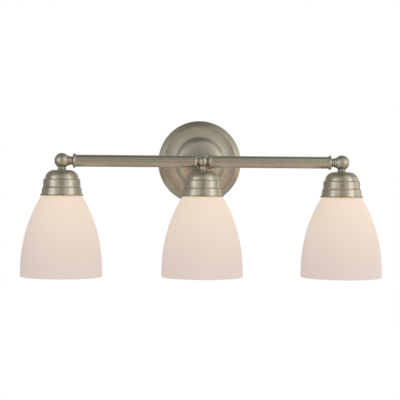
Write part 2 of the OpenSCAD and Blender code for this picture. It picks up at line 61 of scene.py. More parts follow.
class Axis(Enum):
    """The way a turned piece's own axis points, as the turn that lays +Z along it."""

    UP = Matrix.Identity(4)
    ALONG = Matrix.Rotation(math.radians(90), 4, "Y")
    OUT = Matrix.Rotation(math.radians(90), 4, "X")


class Slot(Enum):
    """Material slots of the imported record."""

    NICKEL = "satin_nickel"
    ZINC = "zinc_steel"
    GREEN = "green_paint"
    GREEN_WIRE = "green_insulation"
    BLACK_WIRE = "black_insulation"
    WHITE_WIRE = "white_insulation"
    PORCELAIN = "white_porcelain"
    BRASS = "brass"
    OPAL = "opal_glass"
    LAMP_GLASS = "frosted_lamp_glass"
    LAMP_BASE = "lamp_base"


# --- mesh helpers -----------------------------------------------------------------------


def rounded(corners: list[Corner], closed: bool = False, steps: int = 4) -> list[Point]:
    """Rounds the corners of an outline with short curves.

    Args:
        corners: radius, height and the length that the rounding takes off each edge.
        closed: whether the last corner joins the first.
        steps: how many edges each rounding has.

    Returns:
        The outline's points in the same order.
    """
    points: list[Point] = []
    count = len(corners)
    for i, (r, h, cut) in enumerate(corners):
        ends = not closed and i in (0, count - 1)
        if ends or cut <= 0:
            points.append((r, h))
            continue
        here = Vector((r, h))
        before = Vector(corners[i - 1][:2]) - here
        after = Vector(corners[(i + 1) % count][:2]) - here
        start = here + before.normalized() * min(cut, before.length * 0.45)
        end = here + after.normalized() * min(cut, after.length * 0.45)
        for k in range(steps + 1):
            t = k / steps
            p = start * (1 - t) ** 2 + here * 2 * t * (1 - t) + end * t * t
            points.append((p.x, p.y))
    return points


def arc(centre: Point, radii: Point, start: float, end: float, steps: int) -> list[Point]:
    """Points on an elliptical arc, with angles in degrees from the outline's radius axis."""
    turns = [math.radians(start + (end - start) * i / steps) for i in range(steps + 1)]
    return [(centre[0] + radii[0] * math.cos(a), centre[1] + radii[1] * math.sin(a))
            for a in turns]


def beside(outline: list[Point], gap: float) -> list[Point]:
    """The open outline moved sideways by gap, to the left of its direction."""
    moved: list[Point] = []
    for i, point in enumerate(outline):
        before = Vector(point) - Vector(outline[i - 1]) if i else None
        after = Vector(outline[i + 1]) - Vector(point) if i < len(outline) - 1 else None
        before = before or after
        after = after or before
        middle = (before.normalized() + after.normalized()).normalized()
        side = Vector((-middle.y, middle.x))
        edge = Vector((-before.y, before.x)).normalized()
        shift = side * gap / max(0.3, side.dot(edge))
        moved.append((point[0] + shift.x, point[1] + shift.y))
    return moved


def finish_mesh(name: str, bm: bmesh.types.BMesh, sharp_angle: float = 40.0) -> bpy.types.Object:
    """Turns a bmesh into a smooth shaded object at the origin.

    Args:
        name: the piece's name.
        bm: the shape, in the frame's place. It is freed here.
        sharp_angle: edges that turn by more than this many degrees stay sharp.

    Returns:
        The new object, linked to the scene.
    """
    bmesh.ops.remove_doubles(bm, verts=bm.verts, dist=1e-6)
    bmesh.ops.recalc_face_normals(bm, faces=bm.faces)
    for face in bm.faces:
        face.smooth = True
    mesh = bpy.data.meshes.new(name)
    bm.to_mesh(mesh)
    bm.free()
    mesh.set_sharp_from_angle(angle=math.radians(sharp_angle))
    piece = bpy.data.objects.new(name, mesh)
    bpy.context.scene.collection.objects.link(piece)
    return piece


def spun(bm: bmesh.types.BMesh, outline: list[Point], closed: bool, place: Matrix,
         steps: int) -> None:
    """Adds a full turn of an outline to bm.

    Args:
        bm: the shape to add to.
        outline: radius and height of each point.
        closed: whether the outline is a loop, as on a ring or a shell.
        place: where the turned shape goes, from its own +Z axis.
        steps: faces round the turn.
    """
    verts = [bm.verts.new((r, 0.0, h)) for r, h in outline]
    edges = [bm.edges.new(pair) for pair in zip(verts, verts[1:])]
    if closed:
        edges.append(bm.edges.new((verts[-1], verts[0])))
    bmesh.ops.spin(bm, geom=[*verts, *edges], cent=(0, 0, 0), axis=(0, 0, 1),
                   angle=math.tau, steps=steps, use_merge=True)
    bmesh.ops.transform(bm, matrix=place, verts=bm.verts)


def lathe(name: str, outline: list[Point], place: Matrix, closed: bool = True, steps: int = 128,
          sharp_angle: float = 40.0) -> bpy.types.Object:
    """A turned piece from one outline."""
    bm = bmesh.new()
    spun(bm, outline, closed, place, steps)
    return finish_mesh(name, bm, sharp_angle)


def softened(name: str, node: str, width: float, angle: float = 30.0) -> bpy.types.Object:
    """A copy of a small CAD node with its edges eased.

    Args:
        name: the new piece's name.
        node: the CAD node that it copies and replaces.
        width: how far the bevel reaches from each edge.
        angle: only edges that turn by more than this many degrees are eased.

    Returns:
        The new object, which stands for the node.
    """
    bm = bmesh.new()
    bm.from_mesh(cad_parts[node].data)
    bmesh.ops.remove_doubles(bm, verts=bm.verts, dist=2e-6)
    bmesh.ops.dissolve_limit(bm, angle_limit=math.radians(2), verts=bm.verts, edges=bm.edges)
    hard = [e for e in bm.edges if e.is_manifold and e.calc_face_angle(0.0) > math.radians(angle)]
    bmesh.ops.bevel(bm, geom=hard, offset=width, offset_type="OFFSET", affect="EDGES",
                    segments=2, profile=0.5, material=-1, clamp_overlap=True)
    piece = finish_mesh(name, bm)
    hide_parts(node)
    return piece


# --- shared shader groups ---------------------------------------------------------------


class Group:
    """A shader node group with its input and output nodes."""

    def __init__(self, name: str) -> None:
        """Makes an empty group."""
        self.tree = bpy.data.node_groups.new(name, "ShaderNodeTree")
        self.start = self.tree.nodes.new("NodeGroupInput").outputs
        self.end = self.tree.nodes.new("NodeGroupOutput")

    def socket(self, name: str, kind: str, value: float | None = None, out: bool = False) -> None:
        """Adds a named socket of a kind such as Float, Vector or Color."""
        made = self.tree.interface.new_socket(
            name=name, in_out="OUTPUT" if out else "INPUT", socket_type=f"NodeSocket{kind}")
        if value is not None:
            made.default_value = value


def add_node(tree: bpy.types.NodeTree, kind: str, **settings: object) -> bpy.types.Node:
    """Adds a shader node to a tree and sets its named properties."""
    node = tree.nodes.new(kind)
    for key, value in settings.items():
        setattr(node, key, value)
    return node


def feed(tree: bpy.types.NodeTree, node: bpy.types.Node, **inputs: object) -> None:
    """Sets or joins a node's inputs. An underscore in a name stands for a space."""
    for key, value in inputs.items():
        socket = node.inputs[key.replace("_", " ")]
        if isinstance(value, bpy.types.NodeSocket):
            tree.links.new(value, socket)
        else:
            socket.default_value = value


def maths(tree: bpy.types.NodeTree, operation: str, a: object, b: object = None,
          c: object = None, clamp: bool = False) -> bpy.types.NodeSocket:
    """Adds a Math node; each value is a number or an output to join.

    Returns:
        The node's output.
    """
    node = add_node(tree, "ShaderNodeMath", operation=operation, use_clamp=clamp)
    for i, value in enumerate((a, b, c)):
        if isinstance(value, (int, float)):
            node.inputs[i].default_value = value
        elif value is not None:
            tree.links.new(value, node.inputs[i])
    return node.outputs[0]


def times(tree: bpy.types.NodeTree, a: object, b: object) -> bpy.types.NodeSocket:
    """Adds the product of two values."""
    return maths(tree, "MULTIPLY", a, b)


def split_up(tree: bpy.types.NodeTree, vector: bpy.types.NodeSocket
             ) -> bpy.types.bpy_prop_collection:
    """Adds a split of a vector and returns its X, Y and Z outputs."""
    split = add_node(tree, "ShaderNodeSeparateXYZ")
    feed(tree, split, Vector=vector)
    return split.outputs


def noise_of(tree: bpy.types.NodeTree, vector: bpy.types.NodeSocket, scale: object,
             detail: float = 3.0, roughness: float = 0.5) -> bpy.types.NodeSocket:
    """Adds a noise texture on the given coordinates and returns its value."""
    node = add_node(tree, "ShaderNodeTexNoise")
    feed(tree, node, Vector=vector, Scale=scale, Detail=detail, Roughness=roughness)
    return node.outputs["Fac"]


def smooth(tree: bpy.types.NodeTree, value: bpy.types.NodeSocket, reach: Point,
           levels: Point = (0.0, 1.0)) -> bpy.types.NodeSocket:
    """Adds a soft step from one level to the other as value crosses the reach."""
    node = add_node(tree, "ShaderNodeMapRange", interpolation_type="SMOOTHSTEP")
    feed(tree, node, Value=value, From_Min=reach[0], From_Max=reach[1],
         To_Min=levels[0], To_Max=levels[1])
    return node.outputs["Result"]


def mixed(tree: bpy.types.NodeTree, factor: bpy.types.NodeSocket, a: object, b: object
          ) -> bpy.types.NodeSocket:
    """Adds a colour mix between a and b, each a colour or an output, and returns its colour."""
    node = add_node(tree, "ShaderNodeMix", data_type="RGBA")
    tree.links.new(factor, node.inputs[0])
    for socket, value in ((node.inputs[6], a), (node.inputs[7], b)):
        if isinstance(value, tuple):
            socket.default_value = (*value, 1.0)
        else:
            tree.links.new(value, socket)
    return node.outputs[2]


def bumped(tree: bpy.types.NodeTree, height: bpy.types.NodeSocket, strength: float,
           distance: float) -> bpy.types.NodeSocket:
    """Adds a bump of a height and returns its normal."""
    bump = add_node(tree, "ShaderNodeBump")
    feed(tree, bump, Height=height, Strength=strength, Distance=distance)
    return bump.outputs["Normal"]


def new_material(name: str) -> tuple[bpy.types.Material, bpy.types.NodeTree, bpy.types.Node]:
    """A new material, its node tree and its Principled shader."""
    material = bpy.data.materials.new(name)
    material.use_nodes = True
    return material, material.node_tree, material.node_tree.nodes["Principled BSDF"]


def build_brushing() -> bpy.types.NodeTree:
    """Fine lines that run round a turned piece: a height and a mask.

    Returns:
        The group, whose Vector input is centred on the piece with its axis along Z.
    """
    group = Group("brushing")
    group.socket("Vector", "Vector")
    group.socket("Lines per metre", "Float", 2600.0)
    group.socket("Height", "Float", out=True)
    group.socket("Mask", "Float", out=True)
    tree = group.tree
    x, y, z = split_up(tree, group.start["Vector"])
    flat = maths(tree, "SQRT", maths(tree, "ADD", times(tree, x, x), times(tree, y, y)))
    angle = maths(tree, "ARCTAN2", y, x)
    lines = group.start["Lines per metre"]
    joined = add_node(tree, "ShaderNodeCombineXYZ")
    feed(tree, joined, X=times(tree, flat, lines), Y=times(tree, z, lines),
         Z=times(tree, maths(tree, "ABSOLUTE", angle), 1.6))
    fine = noise_of(tree, joined.outputs[0], 1.0, 2.0)
    broad = noise_of(tree, joined.outputs[0], 0.22, 2.0)
    feed(tree, group.end, Mask=maths(tree, "SUBTRACT", broad, 0.5),
         Height=maths(tree, "ADD", times(tree, fine, 0.65), times(tree, broad, 0.35)))
    return tree


def build_drawing() -> bpy.types.NodeTree:
    """Fine lines that run along a drawn tube: a height and a mask.

    Returns:
        The group, whose Vector input has the tube's axis along Z.
    """
    group = Group("drawing_lines")
    group.socket("Vector", "Vector")
    group.socket("Height", "Float", out=True)
    group.socket("Mask", "Float", out=True)
    tree = group.tree
    scale = add_node(tree, "ShaderNodeVectorMath", operation="MULTIPLY")
    tree.links.new(group.start["Vector"], scale.inputs[0])
    scale.inputs[1].default_value = (2200.0, 2200.0, 24.0)
    fine = noise_of(tree, scale.outputs[0], 1.0, 2.0)
    broad = noise_of(tree, scale.outputs[0], 0.2, 2.0)
    feed(tree, group.end, Height=fine, Mask=maths(tree, "SUBTRACT", broad, 0.5))
    return tree


def build_tarnish() -> bpy.types.NodeTree:
    """Soft cloudy patches, for handling marks and dulling: a mask from 0 to 1."""
    group = Group("tarnish")
    group.socket("Vector", "Vector")
    group.socket("Scale", "Float", 45.0)
    group.socket("Mask", "Float", out=True)
    noise = noise_of(group.tree, group.start["Vector"], group.start["Scale"], 5.0, 0.6)
    feed(group.tree, group.end, Mask=smooth(group.tree, noise, (0.35, 0.7)))
    return group.tree


GROUPS: dict[str, bpy.types.NodeTree] = {}


def shared(name: str) -> bpy.types.NodeTree:
    """The shader group of that name, built the first time it is asked for."""
    makers = {"brushing": build_brushing, "drawing": build_drawing, "tarnish": build_tarnish}
    if name not in GROUPS:
        GROUPS[name] = makers[name]()
    return GROUPS[name]


@dataclass(frozen=True)
class Finish:
    """A material with one Principled shader and soft variation over its surface."""

    name: str
    colour: Colour
    dull: Colour
    roughness: float
    metallic: float = 0.0
    coat: float = 0.0
    anisotropy: float = 0.0
    grain: float = 0.0
    texture: str = ""
    tarnish_scale: float = 45.0
    uneven: float = 0.06
    grain_depth: float = 0.1 * MM

    def build(self, axis: Axis = Axis.UP, centre: Vector = Vector((0, 0, 0))
              ) -> bpy.types.Material:
        """Makes the material for pieces that share an axis.

        Args:
            axis: the way the pieces' own axis points.
            centre: a point on that axis.

        Returns:
            The material, made once for each axis.
        """
        key = "_".join([self.name, axis.name.lower(), *(f"{round(v * 1000)}" for v in centre)])
        found = bpy.data.materials.get(key)
        if found:
            return found
        material, tree, shader = new_material(key)
        turned = add_node(tree, "ShaderNodeMapping", vector_type="TEXTURE")
        feed(tree, turned, Vector=add_node(tree, "ShaderNodeTexCoord").outputs["Object"],
             Location=centre, Rotation=axis.value.to_euler())
        own = turned.outputs["Vector"]
        patches = add_node(tree, "ShaderNodeGroup", node_tree=shared("tarnish"))
        feed(tree, patches, Vector=own, Scale=self.tarnish_scale)
        mask = patches.outputs["Mask"]
        rough = maths(tree, "MULTIPLY_ADD", mask, self.uneven, self.roughness)
        if self.texture:
            lines = add_node(tree, "ShaderNodeGroup", node_tree=shared(self.texture))
            feed(tree, lines, Vector=own)
            rough = maths(tree, "MULTIPLY_ADD", lines.outputs["Mask"], 0.12, rough, clamp=True)
            feed(tree, shader,
                 Normal=bumped(tree, lines.outputs["Height"], self.grain, self.grain_depth))
        feed(tree, shader, Base_Color=mixed(tree, mask, self.colour, self.dull), Roughness=rough,
             Metallic=self.metallic, Coat_Weight=self.coat, Coat_Roughness=0.08)
        if self.anisotropy:
            tangent = add_node(tree, "ShaderNodeTangent", direction_type="RADIAL",
                               axis={"UP": "Z", "ALONG": "X", "OUT": "Y"}[axis.name])
            feed(tree, shader, Anisotropic=self.anisotropy, Anisotropic_Rotation=0.25,
                 Tangent=tangent.outputs[0])
        return material


SATIN = ((0.60, 0.565, 0.495), (0.55, 0.52, 0.455))
NICKEL = Finish("satin_nickel", *SATIN, 0.33, metallic=1.0, anisotropy=0.6, grain=0.03,
                texture="brushing", uneven=0.03)
NICKEL_PLATE = Finish("plate_nickel", *SATIN, 0.39, metallic=1.0, anisotropy=0.4, grain=0.03,
                      texture="brushing", uneven=0.03)
NICKEL_TUBE = Finish("drawn_nickel", *SATIN, 0.27, metallic=1.0, grain=0.012, texture="drawing",
                     uneven=0.03)
NICKEL_BALL = Finish("ball_nickel", *SATIN, 0.36, metallic=1.0, grain=0.03, texture="brushing",
                     uneven=0.03)
ZINC = Finish("zinc_plate", (0.62, 0.63, 0.64), (0.52, 0.53, 0.50), 0.34, metallic=1.0,
              tarnish_scale=160.0, uneven=0.14)
GREEN = Finish("green_zinc", (0.05, 0.30, 0.11), (0.04, 0.24, 0.09), 0.3, metallic=0.75)
GREEN_WIRE = Finish("green_insulation", (0.02, 0.22, 0.07), (0.02, 0.19, 0.06), 0.35, coat=0.3)
BLACK_WIRE = Finish("black_insulation", (0.012, 0.012, 0.013), (0.02, 0.02, 0.02), 0.35, coat=0.3)
WHITE_WIRE = Finish("white_insulation", (0.72, 0.71, 0.68), (0.66, 0.65, 0.61), 0.38, coat=0.3)
COPPER = Finish("bare_copper", (0.72, 0.34, 0.18), (0.55, 0.27, 0.15), 0.3, metallic=1.0)
PORCELAIN = Finish("glazed_porcelain", (0.80, 0.78, 0.73), (0.74, 0.72, 0.66), 0.22, coat=0.6)
BRASS = Finish("brass", (0.70, 0.50, 0.21), (0.55, 0.38, 0.16), 0.26, metallic=1.0,
               anisotropy=0.4, grain=0.1, texture="brushing")
LAMP_BASE = Finish("lamp_base", (0.66, 0.66, 0.67), (0.56, 0.56, 0.57), 0.25, metallic=1.0,
                   anisotropy=0.4, grain=0.08, texture="brushing")
BLACK_GLASS = Finish("lamp_insulator", (0.015, 0.014, 0.016), (0.02, 0.02, 0.02), 0.12, coat=0.4)


@dataclass(frozen=True)
class OpalGlass:
    """Satin opal glass with the lamp's light through it painted on as a glow, brighter towards the
    neck.
    """

    name: str = "lit_opal"
    colour: Colour = (0.72, 0.65, 0.60)
    glow_top: Colour = (1.0, 0.79, 0.62)
    glow_low: Colour = (1.0, 0.84, 0.87)
    strength_top: float = 0.45
    strength_low: float = 0.26
    roughness: float = 0.6
    ripple: float = 1.0 * MM

    def build(self, low: float, high: float) -> bpy.types.Material:
        """Makes the glass for shades that reach from low to high, with a painted lamp glow that
        rises from the rim to the neck.

        Args:
            low: the height of the rim.
            high: the height of the neck.

        Returns:
            The material.
        """
        found = bpy.data.materials.get(self.name)
        if found:
            return found
        material, tree, shader = new_material(self.name)
        place = add_node(tree, "ShaderNodeTexCoord").outputs["Object"]
        clouds = noise_of(tree, place, 22.0, 3.0)
        # painted lamp light: an emission glow that is strongest and warmest at the neck and dimmer
        # and pinker towards the rim
        rise = smooth(tree, split_up(tree, place)[2], (low, high))
        level = maths(tree, "MULTIPLY_ADD", rise, self.strength_top - self.strength_low,
                      self.strength_low)
        scaled = add_node(tree, "ShaderNodeVectorMath", operation="SCALE")
        tree.links.new(mixed(tree, rise, self.glow_low, self.glow_top), scaled.inputs[0])
        cloudy = maths(tree, "MULTIPLY_ADD", clouds, 0.05, 0.975)
        feed(tree, scaled, Scale=times(tree, level, cloudy))
        tint = mixed(tree, clouds, self.colour, tuple(v * 0.97 for v in self.colour))
        feed(tree, shader, Base_Color=tint, Specular_IOR_Level=0.3,
             Roughness=maths(tree, "MULTIPLY_ADD", clouds, 0.06, self.roughness),
             Emission_Color=scaled.outputs[0], Emission_Strength=1.0,
             Normal=bumped(tree, noise_of(tree, place, 60.0, 2.0), 0.05, self.ripple))
        return material


@dataclass(frozen=True)
class LampGlass:
    """Frosted lamp glass that is lit."""

    name: str = "lit_frosted_glass"
    glow: Colour = (1.0, 0.83, 0.62)
    strength: float = 0.4

    def build(self) -> bpy.types.Material:
        """Makes the lit glass."""
        found = bpy.data.materials.get(self.name)
        if found:
            return found
        material, tree, shader = new_material(self.name)
        place = add_node(tree, "ShaderNodeTexCoord").outputs["Object"]
        frost = noise_of(tree, place, 900.0, 2.0)
        feed(tree, shader, Emission_Strength=self.strength,
             Emission_Color=mixed(tree, frost, self.glow, tuple(v * 0.9 for v in self.glow)),
             Base_Color=mixed(tree, frost, (0.93, 0.92, 0.9), (0.88, 0.87, 0.84)),
             Roughness=maths(tree, "MULTIPLY_ADD", frost, 0.1, 0.4))
        return material


# --- the object -------------------------------------------------------------------------


def put(piece: bpy.types.Object, material: bpy.types.Material, slot: Slot, body: str,
        *nodes: str) -> bpy.types.Object:
    """Dresses a piece, gives it its body, and lets it stand for CAD nodes.

    Args:
        piece: the finished piece.
        material: its material.
        slot: the record's slot that the material belongs to; not used.
        body: the CAD body that it rides on.
        nodes: CAD nodes that it replaces.

    Returns:
        The same piece.
    """
    piece.data.materials.clear()
    piece.data.materials.append(material)
    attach(piece, body)
    if nodes:
        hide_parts(*nodes)
    log.info("%s rides on %s", piece.name, body)
    return piece


def dress(node: str, material: bpy.types.Material) -> None:
    """Gives a carried-over CAD node its material."""
    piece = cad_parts[node]
    piece.data.materials.clear()
    piece.data.materials.append(material)
    log.info("%s keeps its CAD shape", node)


def middle(node: str) -> Vector:
    """The middle of a CAD node's box."""
    low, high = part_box(node)
    return (low + high) / 2


def extent(node: str) -> tuple[Vector, Vector, float]:
    """The low and high corners of a CAD node's box, and half its width."""
    low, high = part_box(node)
    return low, high, (high.x - low.x) / 2


def at(x: float, y: float, z: float) -> Matrix:
    """The move that takes the origin to a place."""
    return Matrix.Translation(Vector((x, y, z)))


BAR_AXIS = middle("left_bar_tube")
BAR_Y, BAR_Z = BAR_AXIS.y, BAR_AXIS.z
HUB = Vector((0, BAR_Y, BAR_Z))
ARM_AXIS = Vector((0, 0, BAR_Z))
PIPE_BORE = 4.85 * MM


@dataclass
class Backplate:
    """The round stepped plate on the wall."""

    wall: float = 1.0 * MM
    land: float = 1.2 * MM
    ridge_r: float = 62.5 * MM
    rim_depth: float = 11.0 * MM
    step_r: float = 44.0 * MM
    step_depth: float = 5.4 * MM
    step_run: float = 4.4 * MM
    ring_rise: float = 2.6 * MM
    flat_r: float = 13.5 * MM
    cove_steps: int = 12
    cove_power: float = 1.8
    dome_steps: int = 16

    def outline(self) -> list[Point]:
        """Outer surface from the wall to the middle: radius and depth."""
        low, _, radius = extent("backplate")
        depth = -low.y
        foot = self.rim_depth + self.ring_rise
        front = foot + self.step_depth
        shoulder = self.step_r - self.step_run
        rise = depth - front - 0.6 * MM
        width = self.ridge_r - self.step_r - 3.0 * MM
        cove = [(self.ridge_r - 2.0 * MM - width * t,
                 self.rim_depth + self.ring_rise * t**self.cove_power, 0.0)
                for t in (i / self.cove_steps for i in range(self.cove_steps))]
        rim = rounded([
            (radius, 0.0, 0.0), (radius, self.land, 0.7 * MM),
            (self.ridge_r + 1.6 * MM, self.rim_depth - 1.6 * MM, 0.7 * MM),
            (self.ridge_r + 1.1 * MM, self.rim_depth - 1.4 * MM, 0.2 * MM),
            (self.ridge_r + 0.9 * MM, self.rim_depth + 0.4 * MM, 0.5 * MM),
            (self.ridge_r + 0.4 * MM, self.rim_depth + 0.9 * MM, 0.4 * MM),
            (self.ridge_r - 0.4 * MM, self.rim_depth + 0.9 * MM, 0.4 * MM),
            (self.ridge_r - 1.0 * MM, self.rim_depth + 0.3 * MM, 0.4 * MM),
            (self.ridge_r - 1.4 * MM, self.rim_depth - 0.2 * MM, 0.2 * MM), *cove,
            (self.step_r + 1.0 * MM, foot, 0.6 * MM),
            (self.step_r - 0.1 * MM, foot + 0.4 * MM, 0.5 * MM),
            (shoulder + 0.3 * MM, front, 0.9 * MM),
            (shoulder - 1.6 * MM, front + 1.3 * MM, 0.4 * MM)])
        dome = arc((self.flat_r, front + 0.6 * MM),
                   (shoulder - 0.8 * MM - self.flat_r, rise), 12, 90, self.dome_steps)
        return [*rim[:-1], *dome, (5.0 * MM, depth)]

    def build(self) -> None:
        """Builds and dresses the plate."""
        outline = self.outline()
        shell = [*outline, *reversed(beside(outline, self.wall))]
        centre = middle("backplate") * Vector((1, 0, 1))
        place = Matrix.Translation(centre) @ Axis.OUT.value
        plate = lathe("backplate_shell", shell, place, steps=192, sharp_angle=50)
        put(plate, NICKEL_PLATE.build(Axis.OUT, centre), Slot.NICKEL, ROOT, "backplate")


@dataclass
class PlateFasteners:
    """Crossbar, its screws and nuts, the cap nuts and the ground wire."""

    ease: float = 0.25 * MM
    nut_ease: float = 0.15 * MM

    def build(self) -> None:
        """Builds and dresses the hardware behind and on the plate."""
        steel = ZINC.build()
        for node in ("crossbar", "crossbar_screws", "screw_locknuts", "arm_washer", "arm_locknut"):
            put(softened(f"{node}_eased", node, self.ease), steel, Slot.ZINC, ROOT)
        put(softened("ground_screw_eased", "ground_screw", self.ease), GREEN.build(),
            Slot.GREEN, ROOT)
        dress("ground_wire", GREEN_WIRE.build())
        put(softened("cap_nuts_eased", "cap_nuts", self.nut_ease, 50), NICKEL.build(Axis.OUT),
            Slot.NICKEL, ROOT)


@dataclass
class Tube:
    """A reeded tube, cut from the same stock for the bar and the arm."""

    reeds: int = 8
    steps: int = 22
    depth: float = 0.5 * MM
    wall: float = 1.2 * MM

    def surface(self, radius: float, angle: float) -> float:
        """Radius of the surface at an angle from the crest of a reed."""
        valley = radius - self.depth
        half = math.cos(math.pi / self.reeds)
        centre = (radius**2 - valley**2) / (2 * (radius - valley * half))
        side = centre * math.sin(angle)
        return centre * math.cos(angle) + math.sqrt((radius - centre) ** 2 - side**2)

    def build(self, name: str, node: str, axis: Axis, centre: Vector) -> None:
        """Builds one tube in place of its node.

        Args:
            name: the piece's name.
            node: the CAD node that it replaces.
            axis: the way the tube runs.
            centre: a point on its axis.
        """
        low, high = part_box(node)
        size = high - low
        length = size.x if axis is Axis.ALONG else size.y
        radius = size.z / 2
        bm = bmesh.new()
        segments = self.reeds * self.steps
        ring = bmesh.ops.create_circle(bm, segments=segments, radius=radius)["verts"]
        reed = math.tau / self.reeds
        for vert in ring:
            turn = math.atan2(vert.co.y, vert.co.x)
            near = turn - reed * round(turn / reed)
            vert.co *= self.surface(radius, near) / radius
        outer = list(bm.edges)
        inner = bmesh.ops.create_circle(bm, segments=segments,
                                        radius=radius - self.depth - self.wall)["verts"]
        both = outer + list({e for v in inner for e in v.link_edges})
        made = bmesh.ops.extrude_edge_only(bm, edges=both)["geom"]
        bmesh.ops.translate(bm, verts=[v for v in made if isinstance(v, bmesh.types.BMVert)],
                            vec=(0, 0, length))
        for height in (0.0, length):
            rim = [e for e in bm.edges if all(abs(v.co.z - height) < 1e-7 for v in e.verts)]
            bmesh.ops.bridge_loops(bm, edges=rim)
        bmesh.ops.translate(bm, verts=bm.verts, vec=(0, 0, -length / 2))
        bmesh.ops.transform(bm, matrix=at(*middle(node)) @ axis.value, verts=bm.verts)
        tube = finish_mesh(name, bm, 24)
        put(tube, NICKEL_TUBE.build(axis, centre), Slot.NICKEL, ROOT, node)


@dataclass
class Couplings:
    """Beads and collars between the balls and the tubes."""

    groove_r: float = 6.0 * MM
    bead_r: float = 7.4 * MM
    crest_cut: float = 1.4 * MM

    def bead(self, start: float, length: float, radius: float, first: float = 0.0) -> list[Point]:
        """Outline of a rounded bead, from the angle first to 180 degrees."""
        turns = [math.radians(first + (180 - first) * i / 12) for i in range(13)]
        begin = math.cos(math.radians(first))
        return [(self.groove_r + (radius - self.groove_r) * math.sin(a),
                 start + length * (begin - math.cos(a)) / (1 + begin)) for a in turns]

    def collar(self, start: float, length: float, crest: float) -> list[Point]:
        """Outline of the collar that flares to a rounded crest."""
        cut = self.crest_cut
        mid = start + length - 2.2 * MM
        points = [(crest - cut + cut * math.sin(math.radians(a)),
                   mid - 2.0 * MM * math.cos(math.radians(a))) for a in range(14, 167, 8)]
        low = points[0]
        hollow = rounded([(self.groove_r, start, 0),
                          (self.groove_r + 0.6 * MM, start + 0.25 * MM, 0.4 * MM),
                          (low[0], low[1], 0)])
        return [*hollow, *points[1:], (crest - cut - 0.3 * MM, start + length)]

    def build(self, name: str, node: str, outer: bool, place: Matrix, axis: Axis,
              length: float, crest: float) -> None:
        """Builds one coupling in place of its node.

        Args:
            name: the piece's name.
            node: the CAD node that it replaces.
            outer: whether it has the two beads of an outer coupling.
            place: where it goes, from its seat on the ball along +Z.
            axis: the way it points, for its finish.
            length: its length.
            crest: the largest radius of its collar.
        """
        if outer:
            step = 3.4 * MM
            beads = [*self.bead(0, step, self.bead_r + 0.9 * MM, 60),
                     *self.bead(step, step, self.bead_r - 0.1 * MM)]
            start = 2 * step
            first = [(PIPE_BORE, 0.0), (7.5 * MM, 0.0)]
        else:
            start = length - 4.4 * MM
            beads = self.bead(0, start, self.bead_r - 0.2 * MM)
            first = [(PIPE_BORE, 0.0)]
        outline = [*first, *beads, *self.collar(start, length - start, crest), (PIPE_BORE, length)]
        piece = lathe(name, outline, place, steps=96, sharp_angle=50)
        centre = HUB if axis is Axis.ALONG else ARM_AXIS
        put(piece, NICKEL.build(axis, centre), Slot.NICKEL, ROOT, node)


@dataclass
class Bar:
    """Both halves of the bar, the arm, the hub and the end balls."""

    tube: Tube = field(default_factory=Tube)
    couplings: Couplings = field(default_factory=Couplings)

    def ball(self, name: str, node: str, centre: Vector, radius: float) -> None:
        """Builds a ball in place of its node, closed where pieces seat on it.

        Args:
            name: the piece's name.
            node: the CAD node that it replaces.
            centre: its centre.
            radius: its radius.
        """
        bm = bmesh.new()
        bmesh.ops.create_uvsphere(bm, u_segments=96, v_segments=64, radius=radius)
        low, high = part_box(node)
        bmesh.ops.transform(bm, matrix=at(*centre), verts=bm.verts)
        for k, sign, edge in ((0, 1, high.x), (0, -1, low.x), (1, 1, high.y), (2, -1, low.z)):
            normal = Vector((0, 0, 0))
            normal[k] = sign
            point = Vector((0, 0, 0))
            point[k] = edge
            if abs(edge - centre[k]) < radius - 0.2 * MM:
                cut = bmesh.ops.bisect_plane(bm, geom=[*bm.verts, *bm.edges, *bm.faces],
                                             plane_co=point, plane_no=normal, clear_outer=True)
                rim = [g for g in cut["geom_cut"] if isinstance(g, bmesh.types.BMEdge)]
                bmesh.ops.edgeloop_fill(bm, edges=rim)
        piece = finish_mesh(name, bm)
        put(piece, NICKEL_BALL.build(Axis.UP, Vector((centre.x, centre.y, 0))), Slot.NICKEL,
            ROOT, node)

    def build(self) -> None:
        """Builds the bar from the hub outwards."""
        self.ball("hub", "hub_ball", HUB, BAR_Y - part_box("hub_ball")[0].y)
        for side, sign in (("left", -1), ("right", 1)):
            self.tube.build(f"{side}_reeded_tube", f"{side}_bar_tube", Axis.ALONG, HUB)
            end = f"{side}_end_ball"
            self.ball(f"{side}_ball", end, Vector((middle(f"{side}_cup").x, BAR_Y, BAR_Z)),
                      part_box(end)[1].z - BAR_Z)
            outwards = Matrix.Rotation(math.radians(90 * sign), 4, "Y")
            for part, from_hub in (("inner", True), ("outer", False)):
                node = f"{side}_{part}_coupling"
                low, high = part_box(node)
                start, end = sorted((low.x, high.x), key=abs)
                seat = start if from_hub else end
                turn = outwards if from_hub else Matrix.Rotation(math.radians(-90 * sign), 4, "Y")
                self.couplings.build(f"{side}_{part}_collar", node, not from_hub,
                                     at(seat, BAR_Y, BAR_Z) @ turn,
                                     Axis.ALONG, high.x - low.x, (high.z - low.z) / 2)
            dress(f"{side}_bar_pipe", ZINC.build())
        self.tube.build("arm_reeded_tube", "arm_tube", Axis.OUT, ARM_AXIS)
        low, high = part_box("arm_collar")
        self.couplings.build("arm_hub_collar", "arm_collar", False,
                             at(0, low.y, BAR_Z) @ Axis.OUT.value.inverted(),
                             Axis.OUT, high.y - low.y, (high.z - low.z) / 2)
        low, high, r = extent("arm_base_collar")
        length = high.y - low.y
        outline = rounded([(4.9 * MM, 0, 0), (r - 0.5 * MM, 0, 0.3 * MM), (r, 1.1 * MM, 0.6 * MM),
                           (r - 0.7 * MM, 2.4 * MM, 0.5 * MM), (10.5 * MM, 3.0 * MM, 0.6 * MM),
                           (10.3 * MM, length, 0.2 * MM), (4.9 * MM, length, 0)])
        base = lathe("arm_foot_collar", outline, at(0, high.y, BAR_Z) @ Axis.OUT.value, steps=96)
        put(base, NICKEL.build(Axis.OUT, ARM_AXIS), Slot.NICKEL, ROOT, "arm_base_collar")
        dress("arm_pipe", ZINC.build())


